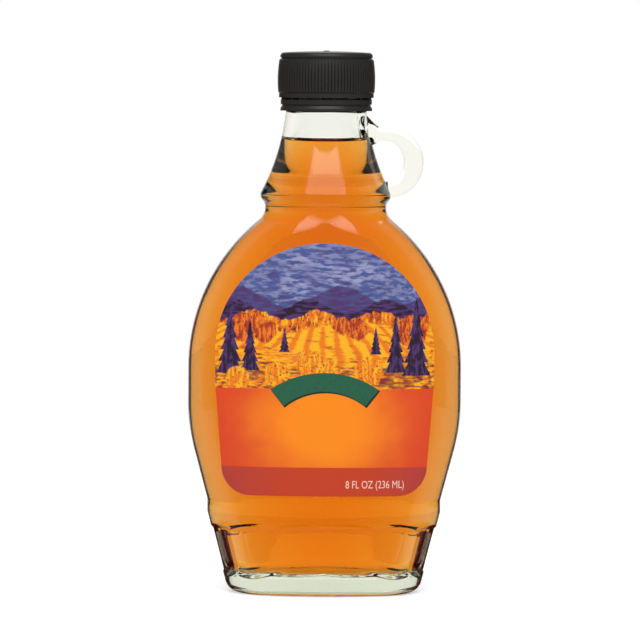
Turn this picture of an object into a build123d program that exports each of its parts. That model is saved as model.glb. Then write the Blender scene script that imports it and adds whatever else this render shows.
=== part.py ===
from build123d import *
import math
import os

# Handled flask of syrup, with a screw cap and a paper label on the front.
# Millimetres. Z is up from the plane that the bottle stands on, the neck's axis is x = y = 0,
# the label faces -Y and the handle stands out towards +X.

# ---- Flask body -------------------------------------------------------------------------------
body_half_width = 42.9      # widest part, seen from the front
body_half_depth = 21.1      # thickest part, seen from the side
side_bottom = 60.0          # the sides are upright from here ...
side_top = 71.0             # ... up to here
flank_radius = 59.3         # arc of the sides below the upright stretch
foot_taper = 15.0           # degrees from upright, where the sides run down to the foot
oval_turn = 75.0            # degrees that a section's small side arcs turn, each way from the X axis
foot_loss = 3.0             # how much the half depth shrinks from the thickest part to the foot
collar_loss = 0.4           # how much it shrinks up to the groove, before the front rolls in
roll_height = 9.0           # height over which the front rolls back into the groove
shoulder_blend = 5.2        # hollow arc between the shoulder and the groove
glass_wall = 3.15
floor_thickness = 6.3
floor_round = 5.0
section_step = 2.1          # height from one lofted section to the next

# ---- Ridge, faceted skirt and foot ------------------------------------------------------------
ridge_top = 29.2
ridge_bottom = 25.4
heel_radius = 4.5
facet_top = 20.6
facet_bottom = 7.2
facet_edges = (0.0, 14.5, 28.0)   # the facets' upright edges, from the middle, at half their height
facet_sink = 0.3                  # depth of a facet under the chord between its edges
facet_slope = 45.0                # degrees, of the slopes above and below a facet
recess_inset = 8.5                # from the foot's outline to the hollow under it
recess_height = 1.6
recess_slope = 2.5                # how far the hollow draws in on its way up

# ---- Neck -------------------------------------------------------------------------------------
groove_z = 121.1
groove_radius = 19.0
groove_round = 3.0
bead_radius = 20.5
bead_round = 2.6
neck_height = 47.2          # groove to lip
finish_radius = 12.7        # straight top of the neck, under the cap
finish_show = 0.3           # how much of it shows under the cap
flare_angle = 6.0           # degrees from upright, where the flare runs into that straight top
bore_radius = 9.6
neck_wall = 2.9
ullage = 26.9               # lip down to the syrup

# ---- Handle -----------------------------------------------------------------------------------
loop_x = 19.3
loop_rise = 10.2            # loop's middle over the bead's
loop_radius = 11.3
eye_offset = (-1.1, 0.3)    # eye's middle from the loop's, in x and z
eye_radius = 6.2
loop_depth = 7.2            # along Y
loop_round = 2.1
web_drop = 0.9              # cap's foot down to where the loop's web leaves the neck
web_share = 0.35            # share of the loop's radius, left of its middle, where the web ends

# ---- Cap --------------------------------------------------------------------------------------
cap_height = 18.2               # foot of the tamper band to the roof's rim
cap_roof = 1.2
cap_crown = 0.4                 # rise of the roof's middle over its rim
cap_clearance = 0.25            # cap's inside to the neck's outside
rib_foot_radius = 15.1
rib_bulge_radius = 15.25
rib_head_radius = 14.8
rib_count = 92
rib_depth = 0.4
rib_top_width = 0.5
rib_length = 10.7
rib_bevel = 0.35
rim_height = 2.0                # roof's rim down to the ribs' upper ends
rim_round = 1.2
crease_height = 0.4             # fine crease round the cap, just over the ribs
crease_depth = 0.6
collar_inset = 0.25             # plain collar under the ribs, in from their feet
gate_radius = 0.9               # moulding mark in the middle of the roof
gate_height = 0.2
band_radius = 14.4
band_height = 3.6
band_split = 0.5                # gap between the cap and its tamper band
band_crease_z = 1.6             # crease round the band, over its foot
band_crease_depth = 0.5
band_crease_height = 0.45
bridge_count = 18
bridge_width = 0.8

# ---- Label ------------------------------------------------------------------------------------
label_thickness = 0.12
label_radius = 34.0             # round top of the label
label_centre_z = 76.6
label_side = 9.0                # upright stretch of its sides, below the round top
label_foot_half_width = 31.2
label_foot_z = 31.9
label_corner = 9.0

# ---- Heights that follow ----------------------------------------------------------------------
lip_z = groove_z + neck_height
syrup_level = lip_z - ullage
cap_foot_z = lip_z + cap_roof - cap_height
cap_rim_z = lip_z + cap_roof
bead_middle = bead_radius - bead_round
bead_reach = bead_round + groove_round
bead_drop = math.sqrt(bead_reach**2 - (groove_radius + groove_round - bead_middle) ** 2)
bead_z = groove_z + bead_drop
loop_z = bead_z + loop_rise

# The shoulder's arc is tangent to the upright sides and to the hollow arc that ends in the groove.
blend_middle = groove_radius + shoulder_blend
blend_gap = body_half_width - blend_middle
shoulder_rise = groove_z - side_top
shoulder_radius = (blend_gap**2 + shoulder_rise**2 - shoulder_blend**2) / (2 * (shoulder_blend + blend_gap))
shoulder_end = side_top + shoulder_rise * shoulder_radius / (shoulder_radius + shoulder_blend)


# ---- Sections of the flask --------------------------------------------------------------------
def half_width(z):
    """Half the body's width at a height, as if the skirt went on without the ridge's step."""
    if z > shoulder_end:
        return blend_middle - math.sqrt(shoulder_blend**2 - (groove_z - z) ** 2)
    if z > side_top:
        return body_half_width - shoulder_radius + math.sqrt(shoulder_radius**2 - (z - side_top) ** 2)
    if z > side_bottom:
        return body_half_width
    drop = side_bottom - z
    slope = math.radians(foot_taper)
    bend = flank_radius * math.sin(slope)
    if drop < bend:
        return body_half_width - flank_radius + math.sqrt(flank_radius**2 - drop**2)
    return body_half_width - flank_radius * (1 - math.cos(slope)) - (drop - bend) * math.tan(slope)


def half_depth(z):
    """Half the body's depth at a height, from the foot to the groove under the neck."""
    middle = (side_bottom + side_top) / 2
    if z < middle:
        depth = body_half_depth - foot_loss * ((middle - z) / middle) ** 1.6
    else:
        depth = body_half_depth - collar_loss * ((z - middle) / (groove_z - middle)) ** 2
    share = (z - groove_z + roll_height) / roll_height
    if share > 0:
        depth += (groove_radius - depth) * share**2 * (3 - 2 * share)
    return depth


def skirt_reach(z):
    """Half width and half depth of the skirt at a height, before its facets are cut."""
    draw_in = (ridge_bottom - z) * math.tan(math.radians(foot_taper))
    thinning = (half_depth(ridge_top) - half_depth(0)) * (1 - z / ridge_bottom)
    return half_width(ridge_top) - draw_in, half_depth(ridge_top) - thinning


def oval_arcs(half_x, half_y):
    """Radii of an oval's small side arcs and of its large front and back arcs."""
    turn = math.radians(oval_turn)
    spread = (half_x - half_y) / (math.sin(turn) + math.cos(turn) - 1)
    return half_x - spread * math.cos(turn), half_y + spread * math.sin(turn)


def oval(z, half_x, half_y):
    """A section of four tangent arcs: small ones at the sides, large ones front and back."""
    small = oval_arcs(half_x, half_y)[0]
    join_x = half_x - small + small * math.cos(math.radians(oval_turn))
    join_y = small * math.sin(math.radians(oval_turn))
    joins = [(join_x, -join_y), (join_x, join_y), (-join_x, join_y), (-join_x, -join_y)]
    crests = [(half_x, 0), (0, half_y), (-half_x, 0), (0, -half_y)]
    arcs = [ThreePointArc(joins[i], crests[i], joins[(i + 1) % 4]) for i in range(4)]
    return Plane.XY.offset(z) * make_face(arcs)


def oval_y(x, half_x, half_y):
    """Half the depth of an oval at a distance from its middle."""
    small, large = oval_arcs(half_x, half_y)
    if x < half_x - small + small * math.cos(math.radians(oval_turn)):
        return half_y - large + math.sqrt(large**2 - x**2)
    return math.sqrt(max(small**2 - (x - half_x + small) ** 2, 0))


def flask_between(bottom, top, inset):
    """A smooth solid through the body's sections, each drawn in from the outside by an inset."""
    count = math.ceil((top - bottom) / section_step)
    heights = [bottom + (top - bottom) * i / count for i in range(count + 1)]
    return loft([oval(z, half_width(z) - inset, half_depth(z) - inset) for z in heights])


# ---- Skirt ------------------------------------------------------------------------------------
def facet_corners(z):
    """The corners, round the skirt, of the polygon that the facets make at a height."""
    half_x, half_y = skirt_reach(z)
    scale_x = half_x / skirt_reach((facet_top + facet_bottom) / 2)[0]
    quarter = [x * scale_x for x in facet_edges] + [half_x]
    quarter = [(x, oval_y(x, half_x, half_y)) for x in quarter]
    right = [(x, -y) for x, y in quarter] + [(x, y) for x, y in quarter[-2::-1]]
    left = [(-x, y) for x, y in right[-2:0:-1]]
    return right + left


def facet_cutters():
    """One block for each facet: its inner face is the facet, and its ends slope outwards."""
    low = [Vector(x, y, facet_bottom) for x, y in facet_corners(facet_bottom)]
    high = [Vector(x, y, facet_top) for x, y in facet_corners(facet_top)]
    reach = 4.0
    run = reach / math.tan(math.radians(facet_slope))
    blocks = []
    for i in range(len(low)):
        j = (i + 1) % len(low)
        foot = (low[i] + low[j]) / 2
        up = (high[i] + high[j]) / 2 - foot
        along = low[j] - low[i]
        outward = along.cross(up).normalized()
        corners = [(0, 0), (reach, -run), (reach, up.length + run), (0, up.length)]
        side = Plane(foot - outward * facet_sink, x_dir=outward, z_dir=-along)
        width = along.length + 2 * reach
        blocks.append(extrude(side * Polygon(*corners, align=None), amount=width / 2, both=True))
    return blocks


def skirt():
    """An upright ridge over a tapered foot, with flat facets, a round heel and a hollow below."""
    reach = skirt_reach(ridge_bottom)
    foot_x, foot_y = skirt_reach(0)
    solid = loft([oval(0, foot_x, foot_y), oval(ridge_bottom, *reach)], ruled=True)
    for block in facet_cutters():
        solid -= block
    solid = fillet(solid.faces().sort_by(Axis.Z)[0].edges(), heel_radius)
    hollow_top = recess_inset + recess_slope
    solid -= loft([
        oval(0, foot_x - recess_inset, foot_y - recess_inset),
        oval(recess_height, foot_x - hollow_top, foot_y - hollow_top),
    ])
    return solid + extrude(oval(ridge_bottom, *reach), amount=ridge_top - ridge_bottom)


# ---- Neck -------------------------------------------------------------------------------------
def flare():
    """The hollow arc from the bead up to the straight top: its middle and radius, in x and z."""
    angle = math.radians(flare_angle)
    end = (finish_radius, cap_foot_z - finish_show)
    across = end[0] - bead_middle
    up = end[1] - bead_z
    reach = across * math.cos(angle) + up * math.sin(angle)
    radius = (across**2 + up**2 - bead_round**2) / (2 * (bead_round - reach))
    return (end[0] + radius * math.cos(angle), end[1] + radius * math.sin(angle)), radius


def towards(start, end, distance):
    """The point that lies a distance from one point on the way to another."""
    share = distance / math.dist(start, end)
    return start[0] + (end[0] - start[0]) * share, start[1] + (end[1] - start[1]) * share


def turned(edges):
    """A solid of revolution about Z from a closed outline in x and z."""
    return revolve(Plane.XZ * make_face(edges), Axis.Z)


def neck():
    """The glass above the groove, without its bore: bead, flare and the straight top for the cap."""
    middle = flare()[0]
    bead = (bead_middle, bead_z)
    hollow = (groove_radius + groove_round, groove_z)
    meet = towards(bead, hollow, bead_round)
    leave = towards(bead, middle, bead_round)
    end = (finish_radius, cap_foot_z - finish_show)
    start_z = groove_z - groove_round / 2
    return turned([
        Polyline((groove_radius, groove_z), (groove_radius, start_z), (0, start_z), (0, lip_z),
                 (finish_radius, lip_z), end),
        TangentArc((groove_radius, groove_z), meet, tangent=(0, 1)),
        ThreePointArc(meet, (bead_radius, bead_z), leave),
        TangentArc(leave, end, tangent=(leave[1] - middle[1], middle[0] - leave[0])),
    ])


def neck_bore():
    """The space inside the neck, from the groove up through the lip."""
    middle, radius = flare()
    low = groove_radius - glass_wall
    start_z = groove_z - groove_round / 2
    angle = math.radians(flare_angle + 14)
    inner = radius + neck_wall
    join = (middle[0] - inner * math.cos(angle), middle[1] - inner * math.sin(angle))
    tangent = (-math.sin(angle), math.cos(angle))
    end = towards(middle, (finish_radius, cap_foot_z - finish_show), inner)
    return turned([
        Polyline((low, groove_z), (low, start_z), (0, start_z), (0, lip_z), (bore_radius, lip_z),
                 (bore_radius, end[1] + neck_wall), end),
        Spline((low, groove_z), join, tangents=((0, 1), tangent)),
        TangentArc(join, end, tangent=tangent),
    ])


def handle():
    """A finger loop beside the neck, rounded all round, with a web up to the neck."""
    eye = (loop_x + eye_offset[0], loop_z + eye_offset[1])
    web_x = loop_x - loop_radius * web_share
    web_z = loop_z + loop_radius * math.sqrt(1 - web_share**2)
    root_z = cap_foot_z - web_drop
    low_z = 2 * loop_z - web_z
    web = Polygon((0, root_z), (finish_radius, root_z), (web_x, web_z), (web_x, low_z), (0, low_z),
                  align=None)
    plate = Pos(loop_x, loop_z) * Circle(loop_radius) + web - Pos(*eye) * Circle(eye_radius)
    loop = extrude(Plane.XZ * plate, amount=loop_depth / 2, both=True)
    rims = loop.faces().filter_by(Axis.Y).edges()
    return fillet(rims, loop_round)


# ---- Sub-parts --------------------------------------------------------------------------------
def make_cavity():
    """All the space inside the glass, from the floor up through the lip."""
    body = flask_between(floor_thickness, groove_z, glass_wall)
    body = fillet(body.faces().sort_by(Axis.Z)[0].edges(), floor_round)
    return body + neck_bore()


def make_bottle(body, cavity):
    """The glass in one piece: skirt, body, neck and handle round the cavity."""
    return body + skirt() + neck() + handle() - cavity


def make_syrup(cavity):
    return split(cavity, Plane.XY.offset(syrup_level), keep=Keep.BOTTOM)


def make_label(body):
    """A sheet laid on the body's front, round at the top and narrower at the foot."""
    skin = flask_between(ridge_top, groove_z, -label_thickness)
    side_z = label_centre_z - label_side
    sides = Polygon(
        (-label_radius, label_centre_z), (-label_radius, side_z), (-label_foot_half_width, label_foot_z),
        (label_foot_half_width, label_foot_z), (label_radius, side_z), (label_radius, label_centre_z),
        align=None,
    )
    sides = fillet(sides.vertices().group_by(Axis.Y)[0], label_corner)
    outline = sides + Pos(0, label_centre_z) * Circle(label_radius)
    return (skin & extrude(Plane.XZ * outline, amount=2 * body_half_depth)) - body


def cap_shell():
    """The cap's turned shape under its ribs, with the crease, the rim, the crown and the inside."""
    rib_top = cap_rim_z - rim_height
    rib_foot = rib_top - rib_length
    split_top = cap_foot_z + band_height + band_split
    collar = rib_foot_radius - collar_inset
    inside = finish_radius + cap_clearance
    rim = rib_head_radius - rim_round / 4
    core_foot = rib_foot_radius - rib_depth
    core_bulge = rib_bulge_radius - rib_depth
    core_head = rib_head_radius - rib_depth
    crease = rib_head_radius - crease_depth
    crown_edge = (rim - rim_round, cap_rim_z)
    return turned([
        Polyline((inside, split_top), (collar, split_top), (collar, rib_foot), (core_foot, rib_foot)),
        ThreePointArc((core_foot, rib_foot), (core_bulge, rib_foot + rib_length / 2), (core_head, rib_top)),
        Polyline((core_head, rib_top), (crease, rib_top), (crease, rib_top + crease_height),
                 (rim, rib_top + crease_height), (rim, cap_rim_z - rim_round)),
        RadiusArc((rim, cap_rim_z - rim_round), crown_edge, -rim_round),
        ThreePointArc(crown_edge, (crown_edge[0] / 2, cap_rim_z + cap_crown * 0.75), (0, cap_rim_z + cap_crown)),
        Polyline((0, cap_rim_z + cap_crown), (0, lip_z), (inside, lip_z), (inside, split_top)),
    ])


def cap_ribs():
    """The ribs round the cap, with flat tops that follow its slight bulge and bevelled ends."""
    top = cap_rim_z - rim_height
    foot = top - rib_length
    inside = rib_head_radius - 2 * rib_depth
    tip = rib_bulge_radius + rib_depth
    half_tip = rib_top_width / 2 / rib_bulge_radius
    half_root = math.pi / rib_count * 0.96
    corners = []
    for i in range(rib_count):
        middle = 2 * math.pi * i / rib_count
        root = rib_bulge_radius - rib_depth - 0.15
        for turn, radius in ((-half_root, root), (-half_tip, tip), (half_tip, tip), (half_root, root)):
            corners.append((radius * math.cos(middle + turn), radius * math.sin(middle + turn)))
    star = Pos(0, 0, foot) * extrude(Polygon(*corners, align=None), amount=rib_length)
    barrel = turned([
        Polyline((inside, top), (inside, foot), (rib_foot_radius - rib_bevel, foot),
                 (rib_foot_radius, foot + rib_bevel)),
        ThreePointArc((rib_foot_radius, foot + rib_bevel), (rib_bulge_radius, (foot + top) / 2),
                      (rib_head_radius, top - rib_bevel)),
        Polyline((rib_head_radius, top - rib_bevel), (rib_head_radius - rib_bevel, top), (inside, top)),
    ])
    return star & barrel


def tamper_band():
    """The band left on the neck when the cap is first opened: two rings with a crease between."""
    inside = finish_radius + cap_clearance
    crease = band_radius - band_crease_depth
    crease_z = cap_foot_z + band_crease_z
    top_z = cap_foot_z + band_height
    return turned([Polyline(
        (inside, cap_foot_z), (band_radius, cap_foot_z), (band_radius, crease_z - 2 * band_crease_height),
        (crease, crease_z), (crease, crease_z + band_crease_height / 2),
        (band_radius - 0.1, crease_z + band_crease_height), (band_radius - 0.1, top_z - 0.2),
        (band_radius - 0.3, top_z), (inside, top_z), (inside, cap_foot_z),
    )])


def make_cap():
    """Cap and tamper band as moulded, still joined by the bridges across the split."""
    gate = Pos(0, 0, cap_rim_z) * Cylinder(
        gate_radius, cap_crown + gate_height, align=(Align.CENTER, Align.CENTER, Align.MIN)
    )
    inside = finish_radius + cap_clearance
    span = (band_radius - 0.3) - inside
    overlap = 0.3
    bridge = Box(span, bridge_width, band_split + 2 * overlap)
    split_z = cap_foot_z + band_height + band_split / 2
    cap = cap_shell() + cap_ribs() + tamper_band() + gate
    for i in range(bridge_count):
        cap += Rot(0, 0, 360 * i / bridge_count) * Pos(inside + span / 2, 0, split_z) * bridge
    return cap


def main():
    os.makedirs("parts", exist_ok=True)
    body = flask_between(ridge_top, groove_z, 0)
    cavity = make_cavity()
    nodes = {
        "bottle_glass": make_bottle(body, cavity),
        "syrup": make_syrup(cavity),
        "cap": make_cap(),
        "label_front": make_label(body),
    }
    for name, solid in nodes.items():
        export_step(solid, f"parts/{name}.step")
        print(name, "solids", len(solid.solids()), "volume", round(solid.volume), "mm3")


main()
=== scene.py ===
"""A handled glass flask of maple syrup with a black screw cap and a paper label, on a white studio floor."""

import math

import bpy
from mathutils import Matrix, Vector


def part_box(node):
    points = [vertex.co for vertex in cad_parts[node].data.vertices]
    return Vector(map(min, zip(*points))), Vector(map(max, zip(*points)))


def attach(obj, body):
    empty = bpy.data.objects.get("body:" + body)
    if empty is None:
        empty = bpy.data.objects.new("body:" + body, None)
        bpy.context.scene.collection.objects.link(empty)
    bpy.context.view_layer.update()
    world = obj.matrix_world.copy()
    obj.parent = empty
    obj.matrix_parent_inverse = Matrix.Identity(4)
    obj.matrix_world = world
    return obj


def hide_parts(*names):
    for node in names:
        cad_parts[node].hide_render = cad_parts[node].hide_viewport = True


bl_info = {
    "name": "Syrup Flask",
    "version": (1, 0, 0),
    "blender": (4, 5, 0),
    "location": "View3D > Sidebar > Flask",
    "description": "Builds a handled glass flask of syrup with its cap, label and studio",
    "category": "Object",
}

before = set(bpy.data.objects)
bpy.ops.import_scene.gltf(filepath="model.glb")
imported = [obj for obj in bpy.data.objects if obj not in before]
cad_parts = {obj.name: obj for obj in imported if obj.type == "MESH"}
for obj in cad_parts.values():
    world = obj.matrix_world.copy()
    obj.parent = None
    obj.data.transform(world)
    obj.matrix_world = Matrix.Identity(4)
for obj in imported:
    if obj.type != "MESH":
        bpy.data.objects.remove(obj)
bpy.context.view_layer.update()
MM = 0.001
GLASS_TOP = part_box("bottle_glass")[1][2]
CAP_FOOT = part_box("cap")[0][2]
SYRUP_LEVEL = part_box("syrup")[1][2]
# The angle that the rounded heel turns through before the skirt's slope takes over.
HEEL_TURN = math.radians(75)
# The stretch under the groove, where the body's sections change fast.
SHOULDER_STRETCH = 10 * MM
# Thickness of a printed ink, as it is drawn.
INK = 0.012 * MM
# Light of the room: on dull surfaces, mirrored beside the lit paper, seen through glass from behind, and
# what the dim sides take from that. The last is how much brighter than its shading the floor's paper looks.
ROOM_LIGHT = 0.62
MIRRORED_ROOM = 0.03
BACK_LIGHT = 1.1
DUSK = 0.82
FLOOR_LIFT = 0.45


def length(label, millimetres, description):
    """A size in metres that a user can change, given here in millimetres."""
    return bpy.props.FloatProperty(
        name=label, default=millimetres * MM, unit="LENGTH", precision=5, description=description
    )


def colour(label, hex_code, description):
    """A colour that a user can change, given here as an sRGB hex value."""
    return bpy.props.FloatVectorProperty(
        name=label, default=linear(hex_code), size=3, min=0, max=1, subtype="COLOR", description=description,
    )


def linear(hex_code):
    """An sRGB hex value as linear red, green and blue."""
    parts = [int(hex_code[i:i + 2], 16) / 255 for i in (1, 3, 5)]
    return tuple(c / 12.92 if c <= 0.04045 else ((c + 0.055) / 1.055) ** 2.4 for c in parts)


# ---- Settings ---------------------------------------------------------------------------------
class FlaskSizes(bpy.types.PropertyGroup):
    """Sizes of the glass, the same ones that the flask was drawn with."""

    half_width: length("Half width", 42.9, "Half the body's width at its widest")
    half_depth: length("Half depth", 21.1, "Half the body's depth at its thickest")
    side_bottom: length("Sides from", 60.0, "Height at which the upright sides start")
    side_top: length("Sides to", 71.0, "Height at which the upright sides end")
    flank_radius: length("Flank radius", 59.3, "Arc of the sides under the upright stretch")
    foot_taper: bpy.props.FloatProperty(
        name="Foot taper", default=math.radians(15), subtype="ANGLE",
        description="Lean of the sides at the foot",
    )
    oval_turn: bpy.props.FloatProperty(
        name="Side arc turn", default=math.radians(75), subtype="ANGLE",
        description="Turn of a section's side arcs, each way from the X axis",
    )
    foot_loss: length("Foot loss", 3.0, "How much the half depth shrinks down to the foot")
    collar_loss: length("Collar loss", 0.4, "How much the half depth shrinks up to the groove")
    roll_height: length("Roll height", 9.0, "Height over which the front rolls back into the groove")
    shoulder_blend: length("Shoulder blend", 5.2, "Hollow arc between the shoulder and the groove")
    wall: length("Glass wall", 3.15, "Thickness of the body's wall")
    floor: length("Floor", 6.3, "Thickness of the glass under the syrup")
    floor_round: length("Floor rounding", 5.0, "Rounding between the floor and the walls inside")
    ridge_top: length("Ridge top", 29.2, "Upper edge of the ridge round the body")
    ridge_bottom: length("Ridge bottom", 25.4, "Lower edge of the ridge round the body")
    ridge_round: length("Ridge rounding", 0.55, "Softening of the ridge's edges")
    heel_radius: length("Heel radius", 4.5, "Rounding of the foot's outside")
    facet_top: length("Facet top", 20.6, "Upper end of the skirt's facets")
    facet_bottom: length("Facet bottom", 7.2, "Lower end of the skirt's facets")
    facet_inner: length("Inner facet edge", 14.5, "Distance of a facet's edge from the middle")
    facet_outer: length("Outer facet edge", 28.0, "Distance of the next edge from the middle")
    facet_sink: length("Facet sink", 0.3, "Depth of a facet under the chord between its edges")
    facet_soften: length("Facet softening", 0.22, "Rounding where one facet meets the next")
    stipple: length("Stipple", 0.22, "Height of the notches in the ring that the flask stands on")
    recess_inset: length("Recess inset", 8.5, "From the foot's outline to the hollow under it")
    recess_height: length("Recess height", 1.6, "Height of the hollow under the foot")
    groove_z: length("Groove height", 121.1, "Height of the groove under the neck")
    groove_radius: length("Groove radius", 19.0, "Radius in that groove")
    groove_round: length("Groove rounding", 3.0, "Hollow arc from the groove to the bead")
    bead_radius: length("Bead radius", 20.5, "Radius of the ring at the neck's foot")
    bead_round: length("Bead rounding", 2.6, "Rounding of that ring")
    finish_radius: length("Finish radius", 12.7, "Radius of the neck under the cap")
    finish_show: length("Finish show", 0.3, "How much of the straight neck shows")
    flare_angle: bpy.props.FloatProperty(
        name="Flare angle", default=math.radians(6), subtype="ANGLE",
        description="Lean of the neck under the cap",
    )
    bore_radius: length("Bore radius", 9.6, "Radius of the mouth")
    neck_wall: length("Neck wall", 2.9, "Thickness of the neck's wall")
    columns: bpy.props.IntProperty(
        name="Columns", default=256, min=32, description="Mesh columns round the flask"
    )


class LoopSizes(bpy.types.PropertyGroup):
    """Sizes of the finger loop at the neck."""

    middle_x: length("Loop middle", 19.3, "Distance of the loop's middle from the neck's axis")
    rise: length("Loop rise", 10.2, "Height of the loop's middle over the bead")
    radius: length("Loop radius", 11.3, "Outer radius of the loop")
    eye_x: length("Eye offset", -1.1, "Eye's middle from the loop's, along X")
    eye_z: length("Eye rise", 0.3, "Eye's middle over the loop's")
    eye_radius: length("Eye radius", 6.2, "Radius of the eye")
    depth: length("Loop depth", 7.2, "Thickness of the loop, front to back")
    web_drop: length("Web drop", 0.9, "Cap's foot down to the loop's web")


class SyrupLook(bpy.types.PropertyGroup):
    """The syrup's level and how it takes up light."""

    overlap: length("Overlap", 0.12, "How far the syrup reaches into the glass")
    meniscus: length("Meniscus", 1.3, "Height that the syrup climbs at the glass")
    meniscus_reach: length("Meniscus reach", 2.4, "Distance from the glass at which its surface is level")
    passes: colour("Colour passed", "#FBD400", "Colour of light that the syrup lets through")
    density: bpy.props.FloatProperty(
        name="Density", default=150.0, min=0, description="Strength of the absorption, per metre"
    )


class LabelSizes(bpy.types.PropertyGroup):
    """Outline of the paper label and the heights of its fields."""

    radius: length("Top radius", 34.0, "Radius of the round top")
    centre_z: length("Top centre", 76.6, "Height of that radius's middle")
    side: length("Upright side", 9.0, "Upright stretch below the round top")
    foot_half_width: length("Foot half width", 31.2, "Half the width at the foot, before its round corners")
    foot_z: length("Foot height", 31.9, "Height of the lower edge")
    corner: length("Corner", 9.0, "Radius of the lower corners")
    thickness: length("Thickness", 0.11, "Paper with its print and glue")
    picture_z: length("Picture foot", 65.4, "Height at which the picture gives way to the plain field")
    band_z: length("Band top", 40.9, "Height of the lower band's upper edge")


class PrintColours(bpy.types.PropertyGroup):
    """Printing inks of the label."""

    field: colour("Field", "#FF8C00", "Middle of the plain field")
    field_edge: colour("Field edge", "#E2481A", "Edges of the plain field")
    band: colour("Band", "#C9401C", "Lower band")
    banner: colour("Banner", "#24684A", "Arched banner")
    banner_edge: colour("Banner edge", "#173A2C", "Shadow line of the banner")
    lettering: colour("Lettering", "#FBD3C0", "The volume's figures")
    sky: colour("Sky", "#4C5A96", "Upper sky")
    haze: colour("Haze", "#A9A9CC", "Clouds and the sky over the hills")
    mountain: colour("Mountain", "#54386F", "Far mountains and deep shade")
    gold: colour("Gold", "#FBB514", "Sunlit fields")
    amber: colour("Amber", "#F07A12", "Autumn trees")
    rust: colour("Rust", "#B2381C", "Reddest leaves and the strokes in the fields")
    shade: colour("Shade", "#33213A", "Firs and the darkest shade")


class StageLook(bpy.types.PropertyGroup):
    """Camera and light of the studio."""

    distance: bpy.props.FloatProperty(
        name="Distance", default=1.38, unit="LENGTH", description="Camera to flask"
    )
    lens: bpy.props.FloatProperty(name="Lens", default=247.5, description="Focal length in millimetres")
    aim_z: length("Aim height", 85.6, "Height that the camera looks at")
    aim_x: length("Aim side", -1.55, "Sideways aim of the camera")
    height: length("Camera height", 167.0, "Height of the camera")
    roll: bpy.props.FloatProperty(
        name="Roll", default=math.radians(0.36), subtype="ANGLE", description="Camera roll"
    )
    floor: colour("Floor", "#F4F4F4", "Paper of the floor")
    floor_radius: length("Floor radius", 600.0, "Radius of that paper")
    key_power: bpy.props.FloatProperty(
        name="Key", default=12.0, description="Watts of the large lamp overhead"
    )


# ---- Small helpers ----------------------------------------------------------------------------
def deselect():
    """Leaves edit mode and selects nothing."""
    if bpy.context.object and bpy.context.object.mode != "OBJECT":
        bpy.ops.object.mode_set(mode="OBJECT")
    bpy.ops.object.select_all(action="DESELECT")


def dress(piece, material):
    """Gives a piece its one material."""
    piece.data.materials.clear()
    piece.data.materials.append(material)


def settle(piece, node=None):
    """Gives a finished piece its place in the mesh, its body and the CAD node it stands for."""
    deselect()
    piece.select_set(True)
    bpy.context.view_layer.objects.active = piece
    bpy.ops.object.transform_apply(location=True, rotation=True, scale=True)
    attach(piece, "root")
    if node:
        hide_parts(node)
    piece.select_set(False)


def finish_mesh(piece):
    """Merges doubles, turns the faces outwards and smooths all but the sharp edges."""
    bpy.context.view_layer.objects.active = piece
    piece.select_set(True)
    bpy.ops.object.mode_set(mode="EDIT")
    bpy.ops.mesh.select_all(action="SELECT")
    bpy.ops.mesh.remove_doubles(threshold=2e-6)
    bpy.ops.mesh.normals_make_consistent(inside=False)
    bpy.ops.object.mode_set(mode="OBJECT")
    bpy.ops.object.shade_smooth_by_angle(angle=math.radians(35))


def net(name, rows, columns, place):
    """A grid primitive of rows by columns whose points are moved to place(row, column)."""
    deselect()
    bpy.ops.mesh.primitive_grid_add(x_subdivisions=columns, y_subdivisions=rows, size=2)
    piece = bpy.context.object
    piece.name = name
    for vertex in piece.data.vertices:
        column = round((vertex.co.x + 1) / 2 * columns)
        row = round((vertex.co.y + 1) / 2 * rows)
        vertex.co = place(row, column)
    return piece


def modify(piece, kind, **settings):
    """Adds a modifier, sets it and applies it."""
    deselect()
    piece.select_set(True)
    bpy.context.view_layer.objects.active = piece
    modifier = piece.modifiers.new(kind.title(), kind)
    for key, value in settings.items():
        setattr(modifier, key, value)
    bpy.ops.object.modifier_apply(modifier=modifier.name)


def spread(low, high, step):
    """Evenly spaced values from low to high, both ends in, no further apart than a step."""
    count = max(1, math.ceil(abs(high - low) / step))
    return [low + (high - low) * i / count for i in range(count + 1)]


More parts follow.
